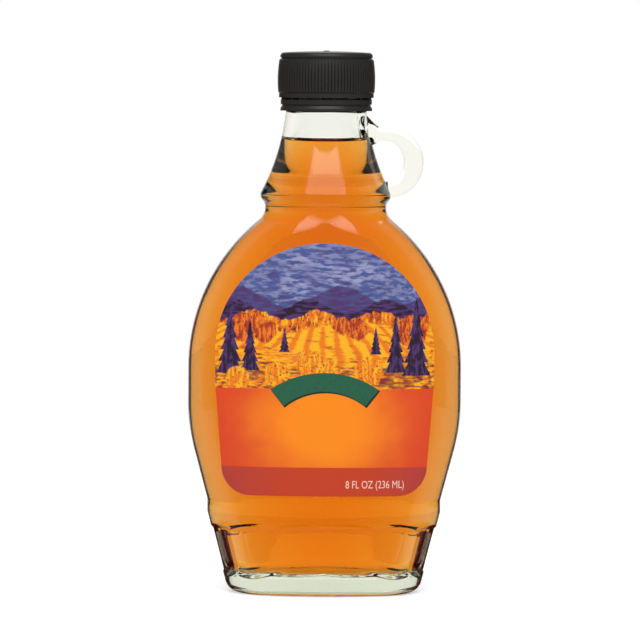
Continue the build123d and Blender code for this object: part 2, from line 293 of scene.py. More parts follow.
# ---- The flask's form -------------------------------------------------------------------------
class Form:
    """Works out the flask's sections from its sizes, in metres."""

    def __init__(self, sizes):
        self.s = sizes
        s = sizes
        self.blend_x = s.groove_radius + s.shoulder_blend
        gap = s.half_width - self.blend_x
        rise = s.groove_z - s.side_top
        self.shoulder = (gap**2 + rise**2 - s.shoulder_blend**2) / (2 * (s.shoulder_blend + gap))
        self.shoulder_end = s.side_top + rise * self.shoulder / (self.shoulder + s.shoulder_blend)
        self.bead_x = s.bead_radius - s.bead_round
        reach = s.bead_round + s.groove_round
        inward = s.groove_radius + s.groove_round - self.bead_x
        self.bead_z = s.groove_z + math.sqrt(reach**2 - inward**2)
        self.finish_end = (s.finish_radius, CAP_FOOT - s.finish_show)
        across = self.finish_end[0] - self.bead_x
        up = self.finish_end[1] - self.bead_z
        lean = across * math.cos(s.flare_angle) + up * math.sin(s.flare_angle)
        self.flare = (across**2 + up**2 - s.bead_round**2) / (2 * (s.bead_round - lean))
        self.flare_x = self.finish_end[0] + self.flare * math.cos(s.flare_angle)
        self.flare_z = self.finish_end[1] + self.flare * math.sin(s.flare_angle)
        self.facets = self.facet_planes()

    def half_width(self, z):
        """Half the body's width at a height, from the groove down to the foot."""
        s = self.s
        if z > self.shoulder_end:
            return self.blend_x - math.sqrt(s.shoulder_blend**2 - (s.groove_z - z) ** 2)
        if z > s.side_top:
            return s.half_width - self.shoulder + math.sqrt(self.shoulder**2 - (z - s.side_top) ** 2)
        if z > s.side_bottom:
            return s.half_width
        drop = s.side_bottom - z
        bend = s.flank_radius * math.sin(s.foot_taper)
        if drop < bend:
            return s.half_width - s.flank_radius + math.sqrt(s.flank_radius**2 - drop**2)
        straight = (drop - bend) * math.tan(s.foot_taper)
        return s.half_width - s.flank_radius * (1 - math.cos(s.foot_taper)) - straight

    def half_depth(self, z):
        """Half the body's depth at a height, which rolls back into the round groove at the top."""
        s = self.s
        middle = (s.side_bottom + s.side_top) / 2
        if z < middle:
            depth = s.half_depth - s.foot_loss * ((middle - z) / middle) ** 1.6
        else:
            depth = s.half_depth - s.collar_loss * ((z - middle) / (s.groove_z - middle)) ** 2
        share = (z - s.groove_z + s.roll_height) / s.roll_height
        if share > 0:
            depth += (s.groove_radius - depth) * share**2 * (3 - 2 * share)
        return depth

    def skirt_slope(self):
        """How much the skirt's front leans out for each unit of height."""
        s = self.s
        return (self.half_depth(s.ridge_top) - self.half_depth(0)) / s.ridge_bottom

    def skirt_reach(self, z):
        """Half width and half depth of the plain skirt at a height."""
        s = self.s
        drop = s.ridge_bottom - z
        return (
            self.half_width(s.ridge_top) - drop * math.tan(s.foot_taper),
            self.half_depth(s.ridge_top) - drop * self.skirt_slope(),
        )

    def arcs(self, half_x, half_y):
        """Radii of a section's small side arcs and of its large front and back arcs."""
        turn = self.s.oval_turn
        wide = (half_x - half_y) / (math.sin(turn) + math.cos(turn) - 1)
        return half_x - wide * math.cos(turn), half_y + wide * math.sin(turn)

    def oval_point(self, angle, half_x, half_y):
        """The point of a section whose outward normal has an angle."""
        small, large = self.arcs(half_x, half_y)
        nx, ny = math.cos(angle), math.sin(angle)
        if abs(nx) >= math.cos(self.s.oval_turn):
            return math.copysign(half_x - small, nx) + small * nx, small * ny
        return large * nx, large * ny - math.copysign(large - half_y, ny)

    def oval_y(self, x, half_x, half_y):
        """Half the depth of a section at a distance from its middle."""
        small, large = self.arcs(half_x, half_y)
        if abs(x) < half_x - small + small * math.cos(self.s.oval_turn):
            return half_y - large + math.sqrt(large**2 - x**2)
        return math.sqrt(max(small**2 - (abs(x) - half_x + small) ** 2, 0))

    def front_y(self, x, z):
        """Y of the body's front at a place."""
        return -self.oval_y(x, self.half_width(z), self.half_depth(z))

    def facet_corners(self, z):
        """The corners of the skirt's facets at a height, once round."""
        s = self.s
        half_x, half_y = self.skirt_reach(z)
        scale = half_x / self.skirt_reach((s.facet_top + s.facet_bottom) / 2)[0]
        quarter = [0, s.facet_inner * scale, s.facet_outer * scale, half_x]
        quarter = [(x, self.oval_y(x, half_x, half_y)) for x in quarter]
        right = [(x, -y) for x, y in quarter] + [(x, y) for x, y in quarter[-2::-1]]
        left = [(-x, y) for x, y in right[-2:0:-1]]
        return [Vector((x, y, z)) for x, y in right + left]

    def facet_planes(self):
        """For each facet a point at its foot, its outward normal, its upward way and its height."""
        s = self.s
        low, high = self.facet_corners(s.facet_bottom), self.facet_corners(s.facet_top)
        planes = []
        for i in range(len(low)):
            j = (i + 1) % len(low)
            foot = (low[i] + low[j]) / 2
            up = (high[i] + high[j]) / 2 - foot
            outward = (low[j] - low[i]).cross(up).normalized()
            planes.append((foot, outward, up.normalized(), up.length))
        return planes

    def cut_facets(self, point, normal):
        """Draws a skirt's point in along its section's normal until it lies under every facet."""
        soft = self.s.facet_soften
        deepest = 0.0
        for foot, outward, up, height in self.facets:
            facing = outward.dot(normal)
            # A facet that lies well round the side can't meet this point.
            if facing < 0.3:
                continue
            away = point - foot
            climb = away.dot(up)
            allowed = max(0.0, -climb, climb - height)
            depth = (away.dot(outward) + self.s.facet_sink - allowed) / facing
            mix = max(0.0, min(1.0, 0.5 + (depth - deepest) / (2 * soft)))
            deepest = deepest * (1 - mix) + depth * mix + soft * mix * (1 - mix)
        return point - normal * max(deepest, 0.0)

    def heel(self, z, slope):
        """How far the foot's outline stands out at a height over its rounded heel."""
        radius = self.s.heel_radius
        angle = math.atan(slope)
        if z >= radius * (1 - math.sin(angle)):
            return z * slope
        inset = radius * math.tan((math.pi / 2 - angle) / 2)
        return -inset + math.sqrt(max(radius**2 - (radius - z) ** 2, 0))

    def foot_stations(self):
        """Heights and half sizes of the sections from the hollow under the foot up to the skirt."""
        s = self.s
        foot_x, foot_y = self.skirt_reach(0)
        # Distances past the hollow's edge, in millimetres, with shares of the hollow's height.
        rim = ((5.5, 1.0), (3.0, 0.98), (1.9, 0.86), (1.0, 0.5), (0.4, 0.14), (0.0, 0.0))
        insets = [(foot_y * 0.98, 1.0)] + [(s.recess_inset + past * MM, share) for past, share in rim]
        rows = [(share * s.recess_height, foot_x - inset, foot_y - inset) for inset, share in insets]
        side_slope = math.tan(s.foot_taper)
        front_slope = self.skirt_slope()
        for step in range(13):
            z = s.heel_radius * (1 - math.cos(HEEL_TURN * step / 12))
            rows.append((z, foot_x + self.heel(z, side_slope), foot_y + self.heel(z, front_slope)))
        return rows

    def skirt_stations(self):
        """The faceted skirt, with its sections close together at the facets' ends."""
        s = self.s
        outside, inside = 3 * MM, 0.6 * MM
        heights = []
        low = s.heel_radius * (1 - math.cos(HEEL_TURN))
        for high, step in (
            (s.facet_bottom - outside, 0.5), (s.facet_bottom + inside, 0.24), (s.facet_top - inside, 1.3),
            (s.facet_top + outside, 0.24), (s.ridge_bottom - s.ridge_round, 0.6),
        ):
            heights += spread(low, high, step * MM)[1:]
            low = high
        return [(z, *self.skirt_reach(z)) for z in heights]

    def ridge_stations(self):
        """The ridge, with its two edges softened."""
        s = self.s
        out_x, out_y = self.skirt_reach(s.ridge_bottom)
        soft = s.ridge_round
        shares = [step / 4 for step in range(1, 9)]
        rows = []
        for share in shares:
            z = s.ridge_bottom - soft + share * soft
            ease = soft * (1 - share / 2) ** 2 / 2
            x = out_x - ease * math.tan(s.foot_taper) * 2
            rows.append((z, x, out_y - ease * self.skirt_slope() * 2))
        rows += [(z, out_x, out_y) for z in spread(s.ridge_bottom + soft, s.ridge_top - soft, 0.8 * MM)[1:]]
        for share in shares:
            z = s.ridge_top - soft + share * soft
            above = max(0.0, z - s.ridge_top)
            ease = soft * (share / 2) ** 2 / 2 - above / 2
            swell = self.half_width(z) - self.half_width(s.ridge_top) if above else 0
            swell_y = self.half_depth(z) - self.half_depth(s.ridge_top) if above else 0
            rows.append((z, out_x + swell + max(ease, 0) * 0.2, out_y + swell_y))
        return rows

    def body_stations(self, low, high, inset, step):
        """Sections of the body between two heights, drawn in by an inset."""
        return [(z, self.half_width(z) - inset, self.half_depth(z) - inset) for z in spread(low, high, step)]

    def neck_stations(self):
        """The hollow, the bead and the flare up to the straight top."""
        s = self.s
        hollow_x = s.groove_radius + s.groove_round
        meet = math.atan2(self.bead_z - s.groove_z, hollow_x - self.bead_x)
        leave = math.atan2(self.flare_z - self.bead_z, self.flare_x - self.bead_x)
        rows = []
        for angle in spread(0, meet, math.radians(8))[1:]:
            x = hollow_x - s.groove_round * math.cos(angle)
            rows.append((x, s.groove_z + s.groove_round * math.sin(angle)))
        for angle in spread(-meet, leave, math.radians(8))[1:]:
            x = self.bead_x + s.bead_round * math.cos(angle)
            rows.append((x, self.bead_z + s.bead_round * math.sin(angle)))
        for angle in spread(leave, s.flare_angle, math.radians(0.9))[1:]:
            x = self.flare_x - self.flare * math.cos(angle)
            rows.append((x, self.flare_z - self.flare * math.sin(angle)))
        return [(z, x, x) for x, z in rows]

    def bore_stations(self):
        """From the lip's outside down the bore to the groove, inside the neck."""
        s = self.s
        lip = GLASS_TOP
        soft = 0.8 * MM
        rows = [(s.finish_radius, lip - soft)]
        for angle in (30, 60, 90):
            turn = math.radians(angle)
            rows.append((s.finish_radius - soft + soft * math.cos(turn), lip - soft + soft * math.sin(turn)))
        for angle in (90, 60, 30, 0):
            turn = math.radians(angle)
            rows.append((s.bore_radius + soft - soft * math.cos(turn), lip - soft + soft * math.sin(turn)))
        inner = self.flare + s.neck_wall
        low_angle = s.flare_angle + math.radians(14)
        end_x = self.flare_x - inner * math.cos(s.flare_angle)
        end_z = self.flare_z - inner * math.sin(s.flare_angle)
        rows.append((s.bore_radius, end_z + s.neck_wall))
        for share in (0.33, 0.66):
            x = s.bore_radius + (end_x - s.bore_radius) * share**2
            rows.append((x, end_z + s.neck_wall * (1 - share)))
        for angle in spread(s.flare_angle, low_angle, math.radians(0.9)):
            rows.append((self.flare_x - inner * math.cos(angle), self.flare_z - inner * math.sin(angle)))
        top_x, top_z = rows[-1]
        low_x, low_z = s.groove_radius - s.wall, s.groove_z
        # A cubic from the flare's lean down to the body's upright wall.
        pull = (top_z - low_z) * 0.42
        one = (top_x + math.tan(low_angle) * pull, top_z - pull)
        two = (low_x, low_z + pull)
        for share in spread(0, 1, 0.1)[1:]:
            keep = 1 - share
            x, z = [
                keep**3 * a + 3 * keep**2 * share * b + 3 * keep * share**2 * c + share**3 * d
                for a, b, c, d in zip((top_x, top_z), one, two, (low_x, low_z))
            ]
            rows.append((x, z))
        return [(z, x, x) for x, z in rows]

    def floor_stations(self, inset):
        """The cavity's rounded floor, from its wall in to the middle."""
        s = self.s
        radius = s.floor_round
        floor = s.floor
        rows = []
        for step in range(1, 11):
            angle = math.radians(9 * step)
            z = floor + radius * (1 - math.sin(angle))
            draw = radius * (1 - math.cos(angle))
            rows.append((z, self.half_width(z) - inset - draw, self.half_depth(z) - inset - draw))
        last = rows[-1]
        rows += [(floor, last[1] - d * MM, last[2] - d * MM) for d in (2, 5, 8)]
        return rows

    def cavity_stations(self, grow=0.0):
        """The cavity from the groove down to its floor, let out by a little."""
        s = self.s
        shoulder_foot = s.groove_z - SHOULDER_STRETCH
        rows = self.body_stations(s.groove_z, shoulder_foot, s.wall, 0.8 * MM)[1:]
        rows += self.body_stations(shoulder_foot, s.floor + s.floor_round, s.wall, 2.0 * MM)[1:]
        rows += self.floor_stations(s.wall)
        return [(z, x + grow, y + grow) for z, x, y in rows]


def stack_net(name, form, rows, skirt_rows=0):
    """A closed skin through sections, with both ends drawn in to a point and facets on the first rows."""
    s = form.s
    columns = s.columns
    end_heights = {-1: rows[0][0], len(rows): rows[-1][0]}

    def place(row, column):
        index = row - 1
        if index in end_heights:
            return Vector((0, 0, end_heights[index]))
        z, half_x, half_y = rows[index]
        angle = 2 * math.pi * (column % columns) / columns
        x, y = form.oval_point(angle, half_x, half_y)
        point = Vector((x, y, z))
        if index < skirt_rows and s.facet_bottom - 4 * MM < z < s.ridge_bottom:
            point = form.cut_facets(point, Vector((math.cos(angle), math.sin(angle), 0)))
        # Two columns in four are lifted off the ground, which notches the bearing ring.
        if index < skirt_rows and z < 0.05 * MM and column % 4 < 2:
            point.z += s.stipple
        return point

    return net(name, len(rows) + 1, columns, place)


# ---- Materials --------------------------------------------------------------------------------
# A Map Range node set to this eases in and out between its two ends.
EASED = {"interpolation_type": "SMOOTHSTEP"}
# A Mix node set to this takes two colours as inputs 6 and 7, and gives one as output 2.
COLOURS = {"data_type": "RGBA", "out": 2}


def add(tree, kind, inputs=(), out=0, **settings):
    """Adds a shader node with its settings, joins or sets its inputs, and returns one of its outputs."""
    node = tree.nodes.new("ShaderNode" + kind)
    for key, value in settings.items():
        setattr(node, key, value)
    for key, value in inputs.items() if isinstance(inputs, dict) else enumerate(inputs):
        socket = node.inputs[key]
        if isinstance(value, bpy.types.NodeSocket):
            tree.links.new(value, socket)
        elif socket.type == "RGBA":
            socket.default_value = (*value, 1)
        else:
            socket.default_value = value
    return node.outputs[out] if len(node.outputs) else None


def new_material(name):
    """An empty material and its node tree."""
    material = bpy.data.materials.new(name)
    material.use_nodes = True
    material.node_tree.nodes.clear()
    return material, material.node_tree


def place_in_mm(tree):
    """Object coordinates in millimetres."""
    place = add(tree, "TexCoord", out="Object")
    return add(tree, "VectorMath", {0: place, "Scale": 1 / MM}, operation="SCALE")


def paint(tree, ground, *coats):
    """Lays coats of ink on a ground, each where a field rises from one value to another."""
    for field, low, high, ink in coats:
        cover = add(tree, "MapRange", (field, low, high), **EASED)
        ground = add(tree, "Mix", {0: cover, 6: ground, 7: ink}, **COLOURS)
    return ground


def flint_glass():
    """Clear soda-lime flint glass, blown in a mould: fire-polished, with a faint waviness."""
    material, tree = new_material("moulded_flint_glass")
    # The mould leaves slow ripples some 9 mm long, which bend highlights a little.
    wave = add(tree, "TexNoise", {"Vector": place_in_mm(tree), "Scale": 1 / 9.0, "Detail": 1.0})
    ripple = add(tree, "Bump", {"Height": wave, "Strength": 0.06, "Distance": 0.0008})
    shader = add(tree, "BsdfPrincipled", {
        "Base Color": linear("#FBFDFB"), "Roughness": 0.0, "IOR": 1.5, "Transmission Weight": 1.0,
        "Specular Tint": (0.6, 0.6, 0.6), "Normal": ripple,
    })
    # Iron in the batch leaves thick glass, such as the foot, a pale grey green.
    absorb = add(tree, "VolumeAbsorption", {"Color": linear("#D7E1CA"), "Density": 34.0})
    add(tree, "OutputMaterial", {"Surface": shader, "Volume": absorb})
    return material


def amber_syrup(look):
    """Maple syrup: a clear sugar solution that takes up blue first and then green."""
    material, tree = new_material("amber_maple_syrup")
    shader = add(tree, "BsdfPrincipled", {
        "Base Color": (1.0, 1.0, 1.0), "Roughness": 0.0, "IOR": 1.46, "Transmission Weight": 1.0,
        "Specular Tint": (0.1, 0.1, 0.1),
    })
    absorb = add(tree, "VolumeAbsorption", {"Color": look.passes, "Density": look.density})
    add(tree, "OutputMaterial", {"Surface": shader, "Volume": absorb})
    return material


def moulded_polypropylene():
    """Black polypropylene, injection moulded: satin, with a fine grain that softens highlights."""
    material, tree = new_material("moulded_black_polypropylene")
    vector = place_in_mm(tree)
    grain = add(tree, "TexNoise", {"Vector": vector, "Scale": 1 / 0.35, "Detail": 3.0})
    cloud = add(tree, "TexNoise", {"Vector": vector, "Scale": 1 / 6.0, "Detail": 2.0})
    tone = add(tree, "Mix", {0: cloud, 6: linear("#2C2927"), 7: linear("#33302E")}, **COLOURS)
    rough = add(tree, "MapRange", {"Value": grain, "To Min": 0.32, "To Max": 0.46})
    bump = add(tree, "Bump", {"Height": grain, "Strength": 0.12, "Distance": 0.00004})
    shader = add(tree, "BsdfPrincipled", {
        "Base Color": tone, "Roughness": rough, "IOR": 1.49, "Normal": bump,
    })
    add(tree, "OutputMaterial", {"Surface": shader})
    return material


def autumn_valley(tree, vector, inks, slow):
    """The label's picture: a cloudy sky over far mountains, autumn woods, mown fields and firs."""
    x = add(tree, "SeparateXYZ", (vector,), "X")
    z = add(tree, "SeparateXYZ", (vector,), "Z")
    dab = add(tree, "TexNoise", {"Vector": vector, "Scale": 1 / 2.2, "Detail": 3.0, "Roughness": 0.6})
    fine = add(tree, "TexNoise", {"Vector": vector, "Scale": 1 / 0.7, "Detail": 2.0, "Roughness": 0.6})
    ragged = add(tree, "Math", (dab, 0.5), operation="SUBTRACT")
    # Half the softness, in millimetres, of a hill's edge and of a tree's.
    hill_edge = 0.35
    crown_edge = 0.3
    fir_edge = 0.12
    ground_edge = 0.1

    def mixed(one, other, share):
        """Two inks mixed, by a share of the second."""
        return tuple(a + (b - a) * share for a, b in zip(inks[one], inks[other]))

    def strokes(along, across, turn):
        """Brush strokes: noise drawn out one way in the label's plane, its two sizes in millimetres."""
        drawn = add(tree, "Mapping", {
            "Vector": vector, "Rotation": (0, math.radians(turn), 0), "Scale": (1 / along, 1, 1 / across),
        }, vector_type="POINT")
        return add(tree, "TexNoise", {"Vector": drawn, "Scale": 1.0, "Detail": 2.0, "Roughness": 0.55})

    def under(base, height, wave, shift, rough):
        """How far a place lies under a rolling skyline that the brush leaves ragged."""
        turn = add(tree, "Math", (x, 2 * math.pi / wave, shift), operation="MULTIPLY_ADD")
        swell = add(tree, "Math", (turn,), operation="SINE")
        line = add(tree, "Math", (swell, height, base), operation="MULTIPLY_ADD")
        line = add(tree, "Math", (ragged, rough, line), operation="MULTIPLY_ADD")
        return add(tree, "Math", (line, z), operation="SUBTRACT")

    def crown(cx, cz, radius):
        """How far a place lies inside a round tree, ragged by the brush."""
        off = add(tree, "VectorMath", (vector, (cx, 0, cz)), operation="SUBTRACT")
        off = add(tree, "VectorMath", (off, (1, 0, 1)), operation="MULTIPLY")
        away = add(tree, "VectorMath", (off,), "Value", operation="LENGTH")
        away = add(tree, "Math", (ragged, 2.6, away), operation="MULTIPLY_ADD")
        return add(tree, "Math", (radius, away), operation="SUBTRACT")

    def fir(cx, foot, tip, width):
        """A dark fir's mask: a narrow spire with a saw-toothed edge."""
        share = add(tree, "Math", (z, -1 / (tip - foot), tip / (tip - foot)), operation="MULTIPLY_ADD")
        tiers = add(tree, "Math", (share, 6.0), operation="MULTIPLY")
        tier = add(tree, "Math", (tiers,), operation="FRACT")
        boughs = add(tree, "Math", (tier, 0.35 * width, 0.75 * width), operation="MULTIPLY_ADD")
        reach = add(tree, "Math", (share, boughs), operation="MULTIPLY")
        side = add(tree, "Math", (x, cx), operation="SUBTRACT")
        side = add(tree, "Math", (side,), operation="ABSOLUTE")
        within = add(tree, "Math", (reach, side), operation="SUBTRACT")
        within = add(tree, "MapRange", (within, -fir_edge, fir_edge), **EASED)
        above = add(tree, "MapRange", (z, foot - ground_edge, foot + ground_edge), **EASED)
        return add(tree, "Math", (within, above), operation="MULTIPLY")

    sweep = strokes(5.0, 1.1, 18)
    flat_strokes = strokes(4.5, 0.8, -4)
    upright = strokes(0.9, 3.2, 6)

    sky = paint(
        tree, inks["sky"],
        (sweep, 0.4, 0.62, mixed("sky", "haze", 0.45)),
        (strokes(4.0, 1.4, 30), 0.5, 0.7, mixed("sky", "mountain", 0.6)),
    )
    cloud = add(tree, "MapRange", (slow, 0.5, 0.62), **EASED)
    streak = add(tree, "MapRange", {0: sweep, 1: 0.42, 2: 0.58, 4: 0.6}, **EASED)
    clouds = add(tree, "Math", (cloud, streak), operation="MULTIPLY")
    picture = add(tree, "Mix", {0: clouds, 6: sky, 7: inks["haze"]}, **COLOURS)

    far = paint(tree, inks["mountain"], (sweep, 0.42, 0.6, mixed("mountain", "sky", 0.5)))
    near = paint(tree, inks["shade"], (flat_strokes, 0.42, 0.6, inks["mountain"]))
    woods = paint(
        tree, inks["rust"],
        (dab, 0.42, 0.6, inks["amber"]), (upright, 0.5, 0.62, inks["gold"]), (fine, 0.6, 0.7, inks["shade"]),
    )
    # Mown rows fan out from a point far up the valley.
    vanishing_z = 99.0
    drop = add(tree, "Math", (vanishing_z, z), operation="SUBTRACT")
    fan = add(tree, "Math", (x, drop), operation="DIVIDE")
    sway = add(tree, "Math", (slow, 5.0), operation="MULTIPLY")
    fan = add(tree, "Math", (fan, 26.0, sway), operation="MULTIPLY_ADD")
    rows = add(tree, "Math", (fan,), operation="SINE")
    rows = add(tree, "Math", (flat_strokes, 2.4, rows), operation="MULTIPLY_ADD")
    field = paint(
        tree, inks["gold"],
        (rows, 0.9, 2.2, inks["amber"]), (sweep, 0.56, 0.7, mixed("rust", "amber", 0.55)),
    )
    slope = paint(
        tree, inks["gold"], (flat_strokes, 0.4, 0.62, inks["amber"]), (sweep, 0.55, 0.68, inks["rust"]),
    )
    trees = paint(tree, inks["rust"], (upright, 0.42, 0.6, inks["amber"]), (fine, 0.58, 0.68, inks["shade"]))
    bushes = paint(tree, inks["amber"], (upright, 0.42, 0.6, inks["gold"]), (fine, 0.55, 0.66, inks["rust"]))
    bark = paint(tree, inks["shade"], (upright, 0.45, 0.6, inks["mountain"]))

    def hill(skyline, ink):
        return paint(tree, picture, (under(*skyline), -hill_edge, hill_edge, ink))

    def grove(places, ink):
        return paint(tree, picture, *((crown(*place), -crown_edge, crown_edge, ink) for place in places))

    # Skylines are given by height, swell, wave length, shift and raggedness, in millimetres.
    picture = hill((94.0, 3.2, 33.0, 0.6, 2.0), far)
    picture = hill((91.0, 2.2, 24.0, 2.9, 2.4), near)
    picture = hill((88.2, 1.4, 19.0, 2.4, 3.6), woods)
    picture = hill((84.6, 1.4, 47.0, 0.2, 0.8), field)
    picture = grove(
        ((-25, 84.5, 4.6), (-18.5, 82.8, 3.2), (5, 85, 2.6), (10, 84.2, 3.4), (27, 83.4, 4.8)), trees,
    )
    picture = hill((76.0, 2.2, 60.0, 3.9, 0.9), slope)
    hollow = add(tree, "MapRange", (under(73.0, 1.3, 26.0, 1.2, 1.8), -hill_edge, hill_edge), **EASED)
    streak = add(tree, "MapRange", {0: sweep, 1: 0.42, 2: 0.56, 4: 0.75}, **EASED)
    shadow = add(tree, "Math", (hollow, streak), operation="MULTIPLY")
    picture = add(tree, "Mix", {0: shadow, 6: picture, 7: mixed("shade", "rust", 0.4)}, **COLOURS)
    # Firs are given by their middle, foot, tip and half width.
    for spire in (
        (-29.5, 70, 92, 3.9), (-23.2, 71, 87.5, 2.8), (22.0, 70.5, 89.5, 3.1),
        (28.4, 69.5, 94, 4.1), (-12.5, 76.8, 84.6, 1.6), (15.8, 76.2, 85.0, 1.7),
    ):
        picture = add(tree, "Mix", {0: fir(*spire), 6: picture, 7: bark}, **COLOURS)
    return grove(
        ((-4.5, 73.0, 4.4), (1.6, 71.2, 3.4), (-15, 69.8, 3.9), (13.5, 70.8, 4.4), (-27, 68.5, 3.6)), bushes,
    )


def printed_paper(sizes, inks):
    """Coated label paper, printed in four colours and varnished: an autumn valley over plain fields."""
    material, tree = new_material("printed_coated_paper")
    vector = place_in_mm(tree)
    z = add(tree, "SeparateXYZ", (vector,), "Z")
    slow = add(tree, "TexNoise", {"Vector": vector, "Scale": 1 / 9.0, "Detail": 2.0})
    picture = autumn_valley(tree, vector, inks, slow)

    # The plain field darkens away from its middle, by an oval 62 mm wide and 52 mm high.
    off = add(tree, "VectorMath", (vector, (0, 0, 55.0)), operation="SUBTRACT")
    off = add(tree, "VectorMath", (off, (1 / 31.0, 0, 1 / 26.0)), operation="MULTIPLY")
    away = add(tree, "VectorMath", (off,), "Value", operation="LENGTH")
    drift = add(tree, "Math", (slow, 0.5), operation="SUBTRACT")
    away = add(tree, "Math", (drift, 0.35, away), operation="MULTIPLY_ADD")
    plain = paint(tree, inks["field"], (away, 0.25, 1.05, inks["field_edge"]))
    side = add(tree, "SeparateXYZ", (off,), "X")
    side = add(tree, "Math", (side,), operation="ABSOLUTE")
    band_end = tuple(a + (b - a) * 0.2 for a, b in zip(inks["band"], inks["mountain"]))
    band = paint(tree, inks["band"], (side, 0.3, 1.2, band_end))
    picture_foot, band_top = sizes.picture_z / MM, sizes.band_z / MM
    printed = paint(tree, plain, (z, picture_foot - 0.15, picture_foot + 0.15, picture))
    printed = paint(tree, band, (z, band_top - 0.08, band_top + 0.08, printed))

    # Only the front is printed. The back and the cut edge are bare.
    facing = add(tree, "SeparateXYZ", (add(tree, "NewGeometry", out="Normal"),), "Y")
    front = add(tree, "Math", (facing, 0.0), operation="LESS_THAN")
    ink = add(tree, "Mix", {0: front, 6: linear("#EFE9DF"), 7: printed}, **COLOURS)
    tooth = add(tree, "TexNoise", {"Vector": vector, "Scale": 1 / 0.12, "Detail": 2.0})
    bump = add(tree, "Bump", {"Height": tooth, "Strength": 0.1, "Distance": 0.00002})
    rough = add(tree, "MapRange", {"Value": tooth, "To Min": 0.3, "To Max": 0.4})
    shader = add(tree, "BsdfPrincipled", {
        "Base Color": ink, "Roughness": rough, "IOR": 1.45, "Normal": bump,
    })
    add(tree, "OutputMaterial", {"Surface": shader})
    return material


def flat_ink(name, tone):
    """An opaque ink over the print, with the paper's slight tooth."""
    material, tree = new_material(name)
    grain = add(tree, "TexNoise", {"Vector": place_in_mm(tree), "Scale": 1 / 0.6, "Detail": 2.0})
    shaded = paint(tree, tone, (grain, 0.3, 0.8, tuple(c * 0.82 for c in tone)))
    rough = add(tree, "MapRange", {"Value": grain, "To Min": 0.45, "To Max": 0.6})
    shader = add(tree, "BsdfPrincipled", {"Base Color": shaded, "Roughness": rough, "IOR": 1.45})
    add(tree, "OutputMaterial", {"Surface": shader})
    return material


# ---- Pieces -----------------------------------------------------------------------------------
class FLASK_OT_glass(bpy.types.Operator):
    """Builds the glass flask: one skin outside and inside, with the finger loop joined to the neck"""

    bl_idname = "flask.glass"
    bl_label = "Glass flask"

    def execute(self, context):
        scene = context.scene
        form = Form(scene.flask_sizes)
        s = scene.flask_sizes
        rows = form.foot_stations() + form.skirt_stations()
        skirt_rows = len(rows)
        shoulder_foot = s.groove_z - SHOULDER_STRETCH
        rows += form.ridge_stations()
        rows += form.body_stations(s.ridge_top + s.ridge_round, shoulder_foot, 0, 1.5 * MM)[1:]
        rows += form.body_stations(shoulder_foot, s.groove_z, 0, 0.6 * MM)[1:]
        rows += form.neck_stations()
        rows += form.bore_stations()
        rows += form.cavity_stations()
        glass = stack_net("glass_flask", form, rows, skirt_rows)
        finish_mesh(glass)
        loop = finger_loop(form, scene.loop_sizes)
        finish_mesh(loop)
        modify(glass, "BOOLEAN", operation="UNION", solver="EXACT", object=loop)
        bpy.data.objects.remove(loop)
        finish_mesh(glass)
        dress(glass, flint_glass())
        settle(glass, "bottle_glass")
        return {"FINISHED"}


def finger_loop(form, sizes):
    """A C-shaped tube whose two ends lie inside the neck's wall."""
    centre = Vector((sizes.middle_x, 0, form.bead_z + sizes.rise))
    eye = centre + Vector((sizes.eye_x, 0, sizes.eye_z))
    root_z = CAP_FOOT - sizes.web_drop
    root_x = form.s.finish_radius - 0.4 * MM
    # The loop starts in the bead and ends in the neck, with finer steps along its web.
    start, web, end = math.radians(-97), math.radians(84), math.radians(137)
    around = 40
    angles = spread(start, web, math.radians(4)) + spread(web, end, math.radians(1.2))[1:]

    def outer(angle):
        """Distance from the loop's middle to its outline, with the web that runs up the neck."""
        reach = sizes.radius
        wall = (centre.x - root_x) / max(-math.cos(angle), 1e-6)
        corner = math.atan2(root_z - centre.z, root_x - centre.x)
        if angle > corner:
            return wall
        rise = math.radians(17)
        if angle > corner - rise:
            share = (angle - corner + rise) / rise
            top = math.hypot(root_z - centre.z, root_x - centre.x)
            return reach + (top - reach) * share**2.6
        return reach

    def place(row, column):
        angle = angles[min(max(row - 1, 0), len(angles) - 1)]
        way = Vector((math.cos(angle), 0, math.sin(angle)))
        inside = eye + way * sizes.eye_radius
        outside = centre + way * outer(angle)
        middle = (inside + outside) / 2
        if row in (0, len(angles) + 1):
            return middle
        half = (outside - inside).length / 2
        turn = 2 * math.pi * (column % around) / around
        # A slightly squared oval, as a mould leaves it.
        power = 0.85
        across = math.copysign(abs(math.cos(turn)) ** power, math.cos(turn))
        deep = math.copysign(abs(math.sin(turn)) ** power, math.sin(turn))
        thickness = Vector((0, sizes.depth / 2 * deep, 0))
        return middle + (outside - inside).normalized() * (half * across) + thickness

    return net("loop_core", len(angles) + 1, around, place)


